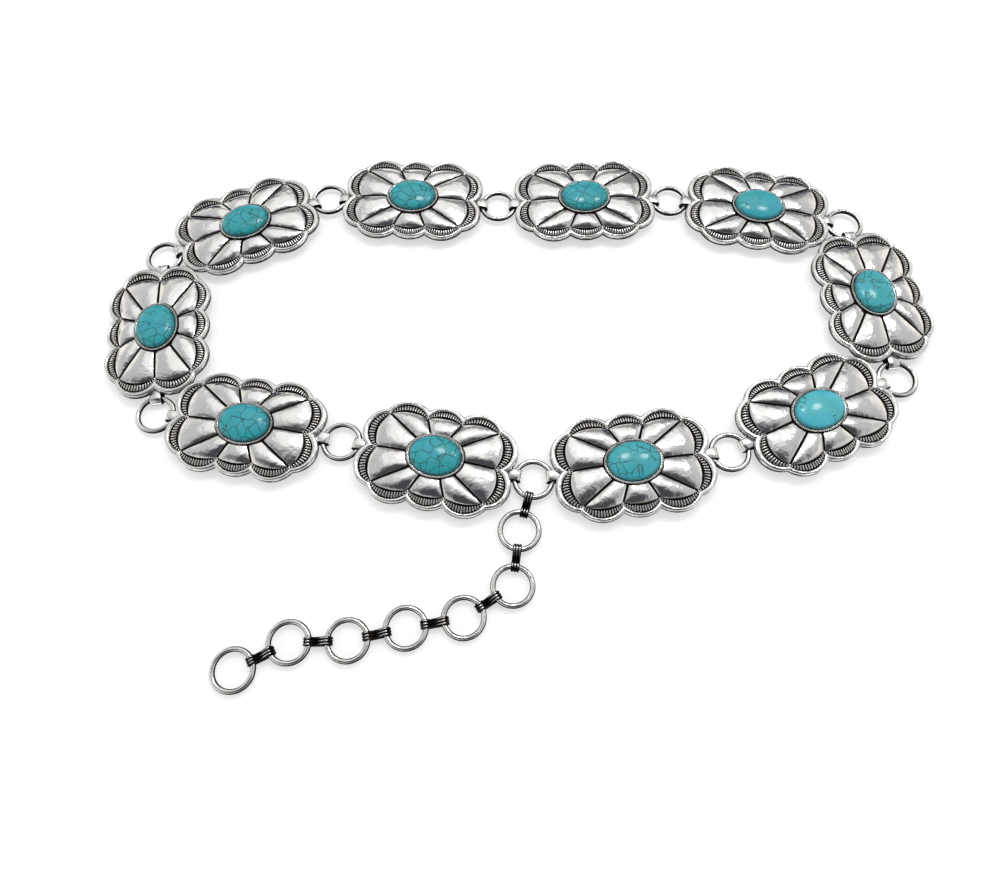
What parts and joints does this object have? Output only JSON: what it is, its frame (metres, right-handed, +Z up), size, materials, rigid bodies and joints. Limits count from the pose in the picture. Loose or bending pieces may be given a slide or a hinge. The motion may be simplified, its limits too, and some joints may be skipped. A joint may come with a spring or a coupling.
{
  "type": "concho belt",
  "caption": "Concho belt of scalloped oval cast silver plates with crackled turquoise stones, joined by round rings, with a tail of rings and triple wire links.",
  "frame": {"origin": "middle of the base of the whole belt's bounding box, on the surface that it lies on", "axes": "+X along the closed loop's long side, +Y from the hanging tail to the far side of the loop, +Z up from the surface"},
  "size_m": [0.3652, 0.2466, 0.0107],
  "materials": {
    "silver": "cast silver, polished on the high parts and blackened in the recesses",
    "turquoise": "polished cabochon with fine dark brown crackle veins"
  },
  "bodies": {
    "root": {"ring_1": "silver", "concho_1": "silver", "stone_1": "turquoise", "ring_2": "silver", "concho_2": "silver", "stone_2": "turquoise", "ring_3": "silver", "concho_3": "silver", "stone_3": "turquoise", "ring_4": "silver", "concho_4": "silver", "stone_4": "turquoise", "ring_5": "silver", "concho_5": "silver", "stone_5": "turquoise", "ring_6": "silver", "concho_6": "silver", "stone_6": "turquoise", "ring_7": "silver", "concho_7": "silver", "stone_7": "turquoise", "ring_8": "silver", "concho_8": "silver", "stone_8": "turquoise", "ring_9": "silver", "concho_9": "silver", "stone_9": "turquoise", "ring_10": "silver", "concho_10": "silver", "stone_10": "turquoise", "triple_link_1": "silver", "chain_ring_1": "silver", "triple_link_2": "silver", "chain_ring_2": "silver", "triple_link_3": "silver", "chain_ring_3": "silver", "triple_link_4": "silver", "chain_ring_4": "silver", "triple_link_5": "silver", "chain_ring_5": "silver", "triple_link_6": "silver", "chain_ring_6": "silver", "triple_link_7": "silver", "chain_ring_7": "silver"}
  },
  "joints": []
}
